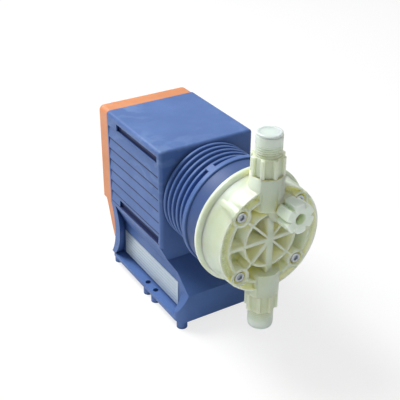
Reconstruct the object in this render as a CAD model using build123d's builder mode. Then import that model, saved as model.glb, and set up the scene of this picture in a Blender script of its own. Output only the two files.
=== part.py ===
from build123d import *
import os
from math import cos, radians, sin, sqrt

# Solenoid-driven diaphragm metering pump, in millimetres.
# +Z is up, the liquid end looks along -Y and the operating panel along +Y.
# The origin is the centre of the four foot holes, on the surface the pump stands on.

os.makedirs("parts", exist_ok=True)

# ------------------------------------------------------------------ driving dimensions
# Housing box and rear cover
width = 90.0
box_front = -28.0
box_length = 97.0
cover_depth = 19.0
roof = 159.5
sill = 67.5                 # height where the straight side walls end
wall = 4.0
edge_r = 3.0
cover_edge_r = 5.0
axis_z = 114.5              # pump axis above the floor

# Pedestal
foot_height = 7.5
foot_r = 4.75
foot_inset = 6.3
flange_t = 4.0
flange_corner_r = 9.0
toe = -58.0                 # front of the base
heel_reach = 6.0            # base behind the box
core_width = 71.0           # pedestal between its gussets
core_wall = 3.5
flare_height = 19.8         # over which the pedestal widens to the box
deck_low = 34.0
deck_high = 55.5
front_gusset_t = 9.0
front_gusset_low = 16.0     # heights where the edge of the front gusset bends
front_gusset_high = 23.5
front_gusset_bend = 3.5     # how far it is drawn in at the upper bend
rear_waist = 6.3            # how far the back is drawn in at its narrowest
rear_waist_z = 39.0
rear_toe = 3.0              # how far the back stands inside the flange
gusset_foot = 6.0           # rear gusset on the flange
gusset_root = 1.0           # how deep it starts inside the core
gusset_root_waist = 7.0     # its front edge at the core, from the box rear
gusset_root_top = 3.0
gusset_edge_waist = 16.0    # and at the outside
gusset_edge_top = 9.0
gusset_lift = 5.0           # its front edge is narrowest this much above the waist
foot_hole_r = 2.6
foot_hole_x = 80.6          # spacing of the foot holes across the pump
foot_hole_y = 14.5          # and along it
foot_boss_r = 4.4
plate_setback = 9.0         # rating plate behind the front gusset
plate_gap = 2.0             # and in front of the rear one
plate_lift = 2.0            # above the flange
plate_height = 25.0
plate_t = 0.5

# Side slots and slats
slot_length = 73.0
slot_height = 6.4
slot_depth = 2.4
slot_front = 5.5            # from the box front
slot_low = 3.8              # lower slot above the sill
slot_high = 5.6             # upper slot below the roof
slat_pitch = 10.8
slat_first = 3.9            # lowest slat's lower edge above the sill
slat_lap = 0.9              # each slat's upper edge lies this much under the one above
slat_slit = 0.6
slat_slit_depth = 1.7
slat_front = 4.0            # from the box front
slat_rear = 2.0             # from the box rear
slat_count = 7

# Ringed drum in front of the box
ring_r = 44.1
ring_core_r = 39.0
ring_t = 3.0
ring_pitch = 6.6
ring_count = 5
ring_first = 2.9            # gap between the box front and the first ring
ring_edge_r = 0.9
collar_r = 49.0
collar_t = 5.4
collar_reach = 41.2         # from the box front to the collar
drum_r = 47.5
drum_reach = 64.0
lug_angles = (65.0, 115.0, 245.0, 295.0)
lug_width = 6.5
lug_r = 46.0

# Liquid end
backplate_r = 50.7
backplate_rim_t = 3.6
backplate_t = 5.5
head_r = 45.6
head_back_r = 47.6          # where the head meets the backplate
head_waist_r = 44.0
head_neck_t = 6.0           # from the backplate to the waist
head_neck_bend = 2.5
head_bend_r = 45.0          # radius of the neck at its bend
head_shoulder_t = 8.0       # from the backplate to the full radius
head_t = 23.0
backplate_edge = 1.0        # chamfer of the backplate's rim
bolt_circle_r = 37.7
bolt_r = 2.5
bolt_head_r = 4.25
bolt_head_t = 5.0
bolt_socket_r = 2.3
bolt_socket_depth = 2.6
bolt_grip_hole_r = 2.75
bolt_runout = 2.0           # hole behind the threaded insert
washer_r = 5.0
washer_t = 1.0
bolt_bore_r = 6.4           # counterbore that the washer and head sit in
bolt_boss_r = 8.2
rim_t = 1.3
channel_depth = 2.6
channel_inner_r = 38.5
pocket_depth = 13.0
pocket_outer_r = 36.2
ring_rib_outer_r = 24.3
ring_rib_inner_r = 22.4
spoke_t = 1.9
thick_spoke_t = 3.4
axial_spoke_t = 3.0
duct_width = 5.6
duct_bore_r = 1.6
chamber_r = 22.0
chamber_depth = 3.0
chamber_step = 1.5
drive_opening_r = 20.0

# Valves
port_set_back = 7.9         # port axis behind the head's front rim
boss_r = 13.6
boss_bore_r = 10.0
discharge_boss_end = 54.2   # distances from the pump axis
discharge_boss_root = 27.0
suction_boss_end = 51.1
suction_boss_root = 30.5
collar_base_r = 11.4
grip_length = 15.8
grip_ribs = 8
grip_rib_t = 3.6
discharge_grip_turn = -8.0  # how far round each valve body happens to be screwed
suction_grip_turn = 1.0
thread_r = 10.48
thread_length = 16.3
thread_lead_in = 1.0
stub_r = 9.6
port_bore_r = 6.5
port_floor = 4.0            # between the port bore and the boss mouth
valve_waist_r = 3.6
ball_r = 4.75
ball_seat_r = 3.4
ball_lift = 1.5
ball_cage_r = 5.3
seat_t = 2.5
suction_stub = 5.1
discharge_stub = 19.5
ball_slack = 0.3            # above a ball that is fully lifted
valve_seal_r = 0.9
plug_cap_t = 2.0
plug_cap_r = 10.1
plug_cap_edge = 0.8
plug_stem = 9.0

# Bleed valve
bleed_x = 11.0
bleed_rise = 25.5           # above the pump axis
bleed_body_r = 9.5
bleed_body_reach = 6.0      # ahead of the head's front rim
bleed_knob_r = 12.6
bleed_valley_r = 9.6
bleed_lobes = 6
bleed_lobe_r = 4.4
bleed_lobe_turn = 35.0
bleed_knob_length = 14.5
bleed_knob_gap = 1.0
bleed_spindle_r = 4.0
bleed_mouth_r = 4.5
bleed_mouth_depth = 6.0
bleed_channel_r = 1.2
bleed_seal_r = 0.45
bleed_seal_depth = 3.0      # behind the bleed body's mouth
bleed_tip = 2.0             # closed end of the bleed spindle

# Solenoid and drive
stroke = 1.25
yoke_r = 34.0
yoke_wall = 4.5
yoke_reach = 48.0           # from the box front to the yoke's front face
yoke_front_t = 6.0
yoke_tail = 8.0             # yoke shell behind the box front
end_plate_t = 12.0
end_plate_lip = 6.0
armature_room = 2.0         # recess of the end plate behind the armature
winding_gap = 1.0
pole_r = 16.0
pole_nose = 12.0
armature_gap = 0.5          # air gap left at the end of the stroke
armature_length = 31.0
tube_t = 0.95
bobbin_t = 1.5
rod_r = 5.0
bush_r = 8.0
bush_length = 8.0
spring_r = 8.2
spring_wire_r = 0.7
spring_turns = 4
spring_pocket_r = 10.0
spring_pocket_depth = 7.0
diaphragm_r = 33.0
diaphragm_t = 2.0
diaphragm_core_r = 14.0
diaphragm_core_t = 4.0
insert_r = 3.6
insert_length = 11.0

# Panel
knob_r = 18.0
knob_length = 16.0
knob_skirt = 3.0
knob_taper = 1.5
knob_flutes = 18
knob_flute_r = 1.6
dial_r = 24.0
dial_t = 0.6
dial_clearance = 1.0        # between the spindle and the dial
spindle_r = 5.0
spindle_grip = 12.0         # spindle inside the knob
rate_inset = 21.0           # from the side of the cover
rate_rise = 30.0
rate_knob_r = 8.0
rate_knob_length = 12.0
rate_knob_edge = 1.0
rate_grip = 8.0             # shaft inside the knob
rate_mark = 1.2             # width and depth of the mark in the knob
rate_shaft_r = 3.0
rate_body = 14.0
rate_depth = 12.0
rate_floor = 2.0
lens_x = 10.0
lens_r = 2.5
lens_proud = 0.8
lens_spacing = 9.0
lens_rise = 33.0
socket_r = 6.0
socket_tail = 8.0           # inside the cover
socket_thread = 5.0         # beyond the nut
socket_nut_af = 15.0
socket_nut_t = 3.0
socket_drop = 33.0
socket_xs = (-24.0, -5.0)
socket_cap_r = 7.4
socket_cap_length = 9.0
gland_x = 18.0
gland_thread_r = 8.0
gland_tail = 6.0            # inside the cover
gland_thread = 8.0          # inside the nut
gland_sleeve = 1.5          # between the cable and the gland body
gland_bore_r = 4.2
gland_hex_af = 20.0
gland_hex_t = 5.0
gland_nut_length = 13.0
gland_nut_dome = 3.0
tongue_end_z = 32.0         # cover's tongue behind the pedestal
tongue_tip = 4.5            # its steps, from the box rear
tongue_bulge = 6.0
tongue_root = 9.5
tongue_bend_z = 42.0
tongue_bulge_z = 59.0
tongue_cut = 0.4            # how far its blank reaches into the pedestal
screw_inset = 8.0           # from the side of the cover
screw_edge = 8.0
screw_r = 2.0
screw_head_r = 3.8
screw_head_t = 2.4
screw_sink = 0.2            # of the head below the panel
screw_slot = 1.0            # width and depth of the slot
screw_length = 34.0
screw_boss_r = 4.6
screw_boss_length = 20.0
gasket_t = 1.2
board_t = 1.6
board_length = 62.0
board_height = 56.0
board_lift = 14.5           # above the floor of the box
board_standoff = 4.4        # from the side wall
board_post_r = 3.2
board_margin = 5.0
part_margin = 4.0           # between the board's edge and what stands on it
transformer_length = 26.0
transformer_height = 24.0
transformer_depth = 18.0
relay_length = 18.0
relay_height = 10.0
relay_depth = 12.0
terminal_length = 28.0
terminal_depth = 9.0
capacitor_r = 5.0
capacitor_length = 16.0
capacitor_pitch = 13.0

# Clearances
running = 0.05              # radial, on everything that turns or slides
seat_gap = 0.1              # between a ball and its seat at rest
slip = 0.1                  # radial, on parts that are only pushed in
stop_gap = 0.3              # between the armature and the stroke spindle
thread_fit = 0.02           # radial, between a screw and its thread
overcut = 1.0               # how far a cutting tool overshoots

# ------------------------------------------------------------------ places that follow
half = width / 2
box_rear = box_front + box_length
heel = box_rear + heel_reach
panel_y = box_rear + cover_depth
flange_top = foot_height + flange_t
collar_y = box_front - collar_reach
drum_front = box_front - drum_reach
backplate_front = drum_front - backplate_t
head_front = backplate_front - head_t
port_y = head_front + port_set_back
bleed_z = axis_z + bleed_rise
screw_x = half - screw_inset
rate_x = rate_inset - half
yoke_front = box_front - yoke_reach
yoke_back = box_front + yoke_tail
coil_front = yoke_front + yoke_front_t
end_plate_front = yoke_back - end_plate_lip
end_plate_back = end_plate_front + end_plate_t
pole_face = coil_front + pole_nose
armature_front = pole_face + stroke + armature_gap
armature_back = armature_front + armature_length
tube_r = pole_r + running + tube_t
rod_back = armature_front + armature_length / 2
diaphragm_rear = backplate_front + diaphragm_t / 2
spindle_tip = armature_back + stop_gap
spindle_end = panel_y + dial_t + spindle_grip
ball_rise = sqrt(ball_r**2 - ball_seat_r**2) + seat_gap     # ball centre above its seat
ball_room = ball_rise + ball_r + ball_lift + ball_slack

pump_axis = Axis((0, 0, axis_z), (0, 1, 0))
side_plane = Plane(origin=(0, 0, axis_z), x_dir=(0, 1, 0), z_dir=(1, 0, 0))


def across(y):
    """Upright plane across the pump at y, its normal along +Y: local X is -X, local Y is up."""
    return Plane(origin=(0, y, axis_z), x_dir=(-1, 0, 0), z_dir=(0, 1, 0))


def turned(*outline, mode=Mode.ADD):
    """Revolve a closed outline of (y, radius) points about the pump axis."""
    with BuildSketch(side_plane) as section:
        with BuildLine():
            Polyline(*outline, close=True)
        make_face()
    revolve(section.sketch, axis=pump_axis, mode=mode)


def collar(y0, y1, radius, bore=0.0, mode=Mode.ADD):
    """A plain disc or ring about the pump axis from y0 to y1."""
    turned((y0, bore), (y0, radius), (y1, radius), (y1, bore), mode=mode)


def rounded_ring(y0, y1, radius):
    """A rib round the drum from y0 to y1 with rounded outer edges."""
    with BuildSketch(side_plane) as section:
        with Locations(((y0 + y1) / 2, radius / 2)):
            Rectangle(y1 - y0, radius)
        fillet(section.vertices().group_by(Axis.Z)[-1], ring_edge_r)
    revolve(section.sketch, axis=pump_axis)


def lengthways(x, z, y0, y1, radius, mode=Mode.ADD):
    """A round bar or hole parallel to the pump axis, at (x, z) from y0 to y1."""
    with BuildSketch(Plane(origin=(x, y0, z), x_dir=(1, 0, 0), z_dir=(0, 1, 0))) as section:
        Circle(radius)
    extrude(section.sketch, amount=y1 - y0, mode=mode)


def upright(x, y, z0, z1, radius, mode=Mode.ADD):
    """A round bar or hole along Z, at (x, y) from z0 to z1."""
    with BuildSketch(Plane(origin=(x, y, z0))) as section:
        Circle(radius)
    extrude(section.sketch, amount=z1 - z0, mode=mode)


def block(x0, x1, y0, y1, z0, z1, mode=Mode.ADD):
    """A rectangular block between two corners."""
    with BuildSketch(Plane(origin=((x0 + x1) / 2, (y0 + y1) / 2, z0))) as section:
        Rectangle(x1 - x0, y1 - y0)
    extrude(section.sketch, amount=z1 - z0, mode=mode)


def save(part, name):
    """Label a finished piece and write its STEP file."""
    part.label = name
    export_step(part, "parts/" + name + ".step")


# ------------------------------------------------------------------ housing
core_half = core_width / 2
flare_z = sill - flare_height
foot_x = half - foot_inset
foot_ys = (toe + foot_inset, heel - foot_inset)
screw_places = [
    (sx * screw_x, z) for sx in (-1, 1) for z in (sill + wall + screw_edge, roof - screw_edge)
]
board_z = sill + wall + board_lift
gasket_z = (sill + roof) / 2
side_view = Plane(origin=(-half, 0, 0), x_dir=(0, 1, 0), z_dir=(1, 0, 0))


def gasket_outline():
    """Rectangular ring in the middle of the box walls, in the sketch being drawn."""
    Rectangle(width - wall + gasket_t, roof - sill - wall + gasket_t)
    Rectangle(width - wall - gasket_t, roof - sill - wall - gasket_t, mode=Mode.SUBTRACT)


def rear_edge():
    """Rear outline of the pedestal from the box down to the flange, in side view."""
    ThreePointArc((box_rear, sill), (box_rear - rear_waist, rear_waist_z),
                  (heel - rear_toe, flange_top))


# The base below the box, solid: the housing is hollowed later and the rear cover fits round it
with BuildPart() as base:
    with BuildSketch(side_view) as profile:
        with BuildLine():
            Polyline((heel - rear_toe, flange_top), (heel, foot_height), (toe, foot_height),
                     (toe, deck_low), (box_front, deck_high), (box_front, sill), (box_rear, sill))
            rear_edge()
        make_face()
    extrude(profile.sketch, amount=width)
    # seen from the front it is upright, then flares out to the box
    with BuildSketch(Plane(origin=(0, toe, 0), x_dir=(1, 0, 0), z_dir=(0, -1, 0))) as front_view:
        with BuildLine():
            Polyline((-core_half, 0), (-core_half, flare_z), (-half, sill), (half, sill),
                     (core_half, flare_z), (core_half, 0), close=True)
        make_face()
    extrude(front_view.sketch, amount=toe - heel, mode=Mode.INTERSECT)
    # front gusset, spreading to the flange
    with BuildSketch(Plane(origin=(0, toe, 0), x_dir=(1, 0, 0), z_dir=(0, -1, 0))) as toe_wall:
        bend_x = half - front_gusset_bend
        with BuildLine():
            Polyline(
                (-half, foot_height), (-half, front_gusset_low), (-bend_x, front_gusset_high),
                (-core_half, deck_low), (core_half, deck_low), (bend_x, front_gusset_high),
                (half, front_gusset_low), (half, foot_height), close=True,
            )
        make_face()
    extrude(toe_wall.sketch, amount=-front_gusset_t)
    # rear gussets, waisted strips the full width of the pump
    for side in (-1, 1):
        faces = []
        for x, waist, top in ((core_half - gusset_root, gusset_root_waist, gusset_root_top),
                              (half, gusset_edge_waist, gusset_edge_top)):
            foot_y = heel - rear_toe - gusset_foot
            with BuildSketch(Plane(origin=(side * x, 0, 0), x_dir=(0, 1, 0),
                                   z_dir=(1, 0, 0))) as strip:
                with BuildLine():
                    rear_edge()
                    Line((heel - rear_toe, flange_top), (foot_y, flange_top))
                    ThreePointArc((foot_y, flange_top),
                                  (box_rear - waist, rear_waist_z + gusset_lift),
                                  (box_rear - top, sill))
                    Line((box_rear - top, sill), (box_rear, sill))
                make_face()
            faces.append(strip.sketch.face())
        loft(faces)
    # flange with rounded corners
    with BuildSketch(Plane.XY.offset(foot_height)) as flange:
        with Locations((0, (toe + heel) / 2)):
            RectangleRounded(width, heel - toe, flange_corner_r)
    extrude(flange.sketch, amount=flange_t)
    # the front corners are rounded over their whole height
    with BuildSketch(Plane.XY) as corners:
        for side in (-1, 1):
            with Locations((side * (half - flange_corner_r / 2), toe + flange_corner_r / 2)):
                Rectangle(flange_corner_r, flange_corner_r)
        for side in (-1, 1):
            with Locations((side * (half - flange_corner_r), toe + flange_corner_r)):
                Circle(flange_corner_r, mode=Mode.SUBTRACT)
    extrude(corners.sketch, amount=deck_low, mode=Mode.SUBTRACT)


with BuildPart() as housing:
    # box with rounded front and top edges
    block(-half, half, box_front, box_rear, sill, roof)
    top_edges = housing.edges().group_by(Axis.Z)[-1]
    rounded_edges = (
        top_edges.filter_by(Axis.Y)
        + top_edges.filter_by(Axis.X).sort_by(Axis.Y)[:1]
        + housing.edges().filter_by(Axis.Z).group_by(Axis.Y)[0]
    )
    fillet(rounded_edges, edge_r)
    add(base.part)
    # ringed drum that holds the solenoid
    collar(drum_front, box_front, ring_core_r)
    for ring in range(ring_count):
        ring_y = box_front - ring_first - ring * ring_pitch
        rounded_ring(ring_y - ring_t, ring_y, ring_r)
    rounded_ring(collar_y - collar_t, collar_y, collar_r)
    collar(drum_front, collar_y - collar_t, drum_r)
    last_ring = box_front - ring_first - (ring_count - 1) * ring_pitch - ring_t
    for angle in lug_angles:
        with BuildSketch(across(collar_y)) as lug:
            with Locations(Rotation(0, 0, angle)):
                with Locations((lug_r / 2, 0)):
                    Rectangle(lug_r, lug_width)
        extrude(lug.sketch, amount=last_ring - collar_y)
    # feet and the bosses round the foot holes
    for x in (-foot_x, foot_x):
        for y in foot_ys:
            upright(x, y, 0, foot_height, foot_r)
    for x in (-foot_hole_x / 2, foot_hole_x / 2):
        for y in (-foot_hole_y / 2, foot_hole_y / 2):
            upright(x, y, 0, flange_top, foot_boss_r)
    # inside of the box and of the pedestal
    block(-half + wall, half - wall, box_front + wall, box_rear, sill + wall, roof - wall,
          mode=Mode.SUBTRACT)
    with BuildSketch(Plane(origin=(-core_half + core_wall, 0, 0), x_dir=(0, 1, 0),
                           z_dir=(1, 0, 0))) as hollow:
        with BuildLine():
            hollow_rear = box_rear - rear_waist - core_wall - wall
            Polyline(
                (toe + wall, flange_top), (toe + wall, deck_low - core_wall),
                (box_front + wall, deck_high - core_wall), (box_front + wall, sill + wall),
                (hollow_rear, sill + wall), (hollow_rear, rear_waist_z),
                (box_rear - core_wall - wall, flange_top), close=True,
            )
        make_face()
    extrude(hollow.sketch, amount=core_width - 2 * core_wall, mode=Mode.SUBTRACT)
    # bosses for the cover screws
    for x, z in screw_places:
        lengthways(x, z, box_rear - screw_boss_length, box_rear, screw_boss_r)
        lengthways(x, z, panel_y - screw_length, box_rear, screw_r, mode=Mode.SUBTRACT)
    # posts for the circuit board on the right-hand wall
    for y in (board_margin, board_length - board_margin):
        for z in (board_z + board_margin, board_z + board_height - board_margin):
            with BuildSketch(Plane(origin=(half - wall, y, z), x_dir=(0, 1, 0),
                                   z_dir=(-1, 0, 0))) as post:
                Circle(board_post_r)
            extrude(post.sketch, amount=board_standoff)
    # groove for the cover gasket
    with BuildSketch(Plane(origin=(0, box_rear, gasket_z), x_dir=(1, 0, 0),
                           z_dir=(0, -1, 0))) as gasket_groove:
        gasket_outline()
    extrude(gasket_groove.sketch, amount=gasket_t, mode=Mode.SUBTRACT)
    # bore for the solenoid, bush seat and drive opening
    collar(yoke_front, box_front + wall, yoke_r + slip, mode=Mode.SUBTRACT)
    collar(drum_front, yoke_front, bush_r, mode=Mode.SUBTRACT)
    collar(drum_front, yoke_front - bush_length, drive_opening_r, mode=Mode.SUBTRACT)
    for turn in range(4):
        angle = radians(45 + 90 * turn)
        x, z = bolt_circle_r * cos(angle), axis_z + bolt_circle_r * sin(angle)
        lengthways(x, z, drum_front, drum_front + insert_length, insert_r, mode=Mode.SUBTRACT)
        lengthways(x, z, drum_front, drum_front + insert_length + bolt_runout, bolt_grip_hole_r,
                   mode=Mode.SUBTRACT)
    # foot holes
    for x in (-foot_hole_x / 2, foot_hole_x / 2):
        for y in (-foot_hole_y / 2, foot_hole_y / 2):
            upright(x, y, 0, flange_top, foot_hole_r, mode=Mode.SUBTRACT)
    # slats that lap like boards, and a long slot above and below them, on both side walls
    slot_y0 = box_front + slot_front
    slot_zs = (sill + slot_low, roof - slot_high - slot_height)
    slat_y0 = box_front + slat_front
    slat_length = box_length - slat_front - slat_rear
    for side in (-1, 1):
        for z in slot_zs:
            x_in, x_out = sorted((side * (half - slot_depth), side * (half + overcut)))
            block(x_in, x_out, slot_y0, slot_y0 + slot_length, z, z + slot_height,
                  mode=Mode.SUBTRACT)
        with BuildSketch(Plane(origin=(0, slat_y0, 0), x_dir=(side, 0, 0),
                               z_dir=(0, -side, 0))) as laps:
            for slat in range(slat_count):
                low = sill + slat_first + slat * slat_pitch
                high = low + slat_pitch
                with BuildLine():
                    Polyline(
                        (half, low), (half - slat_lap, high - slat_slit),
                        (half - slat_slit_depth, high - slat_slit), (half - slat_slit_depth, high),
                        (half + overcut, high), (half + overcut, low), close=True,
                    )
                make_face()
        extrude(laps.sketch, amount=-side * slat_length, mode=Mode.SUBTRACT)
save(housing.part, "housing")

# ------------------------------------------------------------------ rear cover
with BuildPart() as rear_cover:
    block(-half, half, box_rear, panel_y, sill, roof)
    top_edges = rear_cover.edges().group_by(Axis.Z)[-1]
    rounded_edges = (
        top_edges.filter_by(Axis.Y)
        + top_edges.filter_by(Axis.X).sort_by(Axis.Y)[-1:]
        + rear_cover.edges().filter_by(Axis.Z).group_by(Axis.Y)[-1]
    )
    fillet(rounded_edges, cover_edge_r)
    # tongue that runs down the back of the pedestal
    with BuildSketch(side_view) as tongue:
        blank_y = box_rear - rear_waist - tongue_cut
        with BuildLine():
            Polyline(
                (blank_y, tongue_end_z), (box_rear - tongue_tip, tongue_end_z),
                (box_rear, tongue_bend_z), (box_rear + tongue_bulge, tongue_bulge_z),
                (box_rear + tongue_root, sill), (box_rear - gusset_root_top / 2, sill),
                (blank_y, flare_z), close=True,
            )
        make_face()
    extrude(tongue.sketch, amount=width)
    add(base.part, mode=Mode.SUBTRACT)
    block(-half + wall, half - wall, box_rear, panel_y - wall, sill + wall, roof - wall,
          mode=Mode.SUBTRACT)
    # screw bosses and board posts
    for x, z in screw_places:
        lengthways(x, z, box_rear, panel_y - wall, screw_boss_r)
        lengthways(x, z, box_rear, panel_y, screw_r + slip, mode=Mode.SUBTRACT)
        lengthways(x, z, panel_y - screw_head_t, panel_y, screw_head_r + slip, mode=Mode.SUBTRACT)
    # openings for what sits in the panel
    lengthways(0, axis_z, panel_y - wall, panel_y, spindle_r + running, mode=Mode.SUBTRACT)
    lengthways(rate_x, axis_z + rate_rise, panel_y - wall, panel_y, rate_shaft_r + running,
               mode=Mode.SUBTRACT)
    for lens in (-1, 0, 1):
        lengthways(lens_x + lens * lens_spacing, axis_z + lens_rise, panel_y - wall, panel_y,
                   lens_r + slip, mode=Mode.SUBTRACT)
    for x in socket_xs:
        lengthways(x, axis_z - socket_drop, panel_y - wall, panel_y, socket_r + slip,
                   mode=Mode.SUBTRACT)
    lengthways(gland_x, axis_z - socket_drop, panel_y - wall, panel_y, gland_thread_r + slip,
               mode=Mode.SUBTRACT)
save(rear_cover.part, "rear_cover")

with BuildPart() as cover_screws:
    for x, z in screw_places:
        head_y = panel_y - screw_head_t
        lengthways(x, z, panel_y - screw_length, head_y, screw_r)
        lengthways(x, z, head_y, panel_y - screw_sink, screw_head_r)
        block(x - screw_head_r, x + screw_head_r, panel_y - screw_sink - screw_slot, panel_y,
              z - screw_slot / 2, z + screw_slot / 2, mode=Mode.SUBTRACT)
save(cover_screws.part, "cover_screws")

# ------------------------------------------------------------------ bare rating plate
with BuildPart() as rating_plate:
    block(-core_half - plate_t, -core_half, toe + front_gusset_t + plate_setback,
          box_rear - gusset_root_waist - plate_gap, flange_top + plate_lift,
          flange_top + plate_lift + plate_height)
save(rating_plate.part, "rating_plate")

# ------------------------------------------------------------------ solenoid
with BuildPart() as yoke_shell:
    turned(
        (yoke_front, pole_r), (yoke_front, yoke_r), (yoke_back, yoke_r),
        (yoke_back, yoke_r - yoke_wall), (coil_front, yoke_r - yoke_wall), (coil_front, pole_r),
    )
save(yoke_shell.part, "yoke_shell")

with BuildPart() as yoke_end_plate:
    turned(
        (end_plate_front, tube_r - tube_t), (end_plate_front, yoke_r - yoke_wall),
        (yoke_back, yoke_r - yoke_wall), (yoke_back, yoke_r), (end_plate_back, yoke_r),
        (end_plate_back, spindle_r + running),
        (armature_back + armature_room, spindle_r + running),
        (armature_back + armature_room, tube_r - tube_t),
    )
save(yoke_end_plate.part, "yoke_end_plate")

with BuildPart() as pole_core:
    turned(
        (yoke_front, rod_r + running), (yoke_front, pole_r), (pole_face, pole_r),
        (pole_face, spring_pocket_r), (pole_face - spring_pocket_depth, spring_pocket_r),
        (pole_face - spring_pocket_depth, rod_r + running),
    )
save(pole_core.part, "pole_core")

with BuildPart() as guide_tube:
    collar(coil_front, end_plate_front, tube_r, tube_r - tube_t)
save(guide_tube.part, "guide_tube")

with BuildPart() as coil_bobbin:
    collar(coil_front, end_plate_front, tube_r + bobbin_t, tube_r)
    collar(coil_front, coil_front + bobbin_t, yoke_r - yoke_wall, tube_r)
    collar(end_plate_front - bobbin_t, end_plate_front, yoke_r - yoke_wall, tube_r)
save(coil_bobbin.part, "coil_bobbin")

with BuildPart() as coil_winding:
    collar(coil_front + bobbin_t, end_plate_front - bobbin_t, yoke_r - yoke_wall - winding_gap,
           tube_r + bobbin_t)
save(coil_winding.part, "coil_winding")

with BuildPart() as armature:
    turned(
        (armature_front, rod_r), (armature_front, pole_r), (armature_back, pole_r),
        (armature_back, 0), (rod_back, 0), (rod_back, rod_r),
    )
save(armature.part, "armature")

with BuildPart() as thrust_rod:
    collar(diaphragm_rear, rod_back, rod_r)
save(thrust_rod.part, "thrust_rod")

with BuildPart() as rod_bush:
    collar(yoke_front - bush_length, yoke_front, bush_r, rod_r + running)
save(rod_bush.part, "rod_bush")

with BuildPart() as return_spring:
    spring_seat = pole_face - spring_pocket_depth
    spring_length = armature_front - spring_seat - 2 * spring_wire_r
    coil_r = spring_r - spring_wire_r
    with BuildLine() as spring_line:
        Helix(pitch=spring_length / spring_turns, height=spring_length, radius=coil_r,
              center=(0, spring_seat + spring_wire_r, axis_z), direction=(0, 1, 0))
    start = Plane(origin=spring_line.line @ 0, z_dir=spring_line.line % 0)
    with BuildSketch(start) as wire:
        RegularPolygon(spring_wire_r, 6)
    sweep(wire.sketch, path=spring_line.line, is_frenet=True)
save(return_spring.part, "return_spring")

with BuildPart() as stroke_spindle:
    collar(spindle_tip, spindle_end, spindle_r)
save(stroke_spindle.part, "stroke_spindle")

# ------------------------------------------------------------------ diaphragm and its disc
with BuildPart() as diaphragm_core:
    collar(diaphragm_rear, diaphragm_rear + diaphragm_core_t, diaphragm_core_r, rod_r)
save(diaphragm_core.part, "diaphragm_core")

with BuildPart() as diaphragm:
    collar(diaphragm_rear - diaphragm_t, diaphragm_rear, diaphragm_r)
save(diaphragm.part, "diaphragm")

with BuildPart() as backplate:
    rim_front = drum_front - backplate_rim_t
    with BuildSketch(side_plane) as backplate_section:
        with BuildLine():
            Polyline(
                (rim_front, backplate_r - backplate_edge),
                (rim_front + backplate_edge, backplate_r),
                (drum_front, backplate_r), (drum_front, drive_opening_r),
                (backplate_front, drive_opening_r), (backplate_front, head_back_r),
                close=True,
            )
        make_face()
    revolve(backplate_section.sketch, axis=pump_axis)
    collar(backplate_front, diaphragm_rear, diaphragm_r + slip, mode=Mode.SUBTRACT)
    for turn in range(4):
        angle = radians(45 + 90 * turn)
        lengthways(bolt_circle_r * cos(angle), axis_z + bolt_circle_r * sin(angle),
                   backplate_front, drum_front, bolt_grip_hole_r, mode=Mode.SUBTRACT)
save(backplate.part, "backplate")

# ------------------------------------------------------------------ dosing head
spoke_half = pocket_outer_r
head_face = across(head_front)

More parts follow.
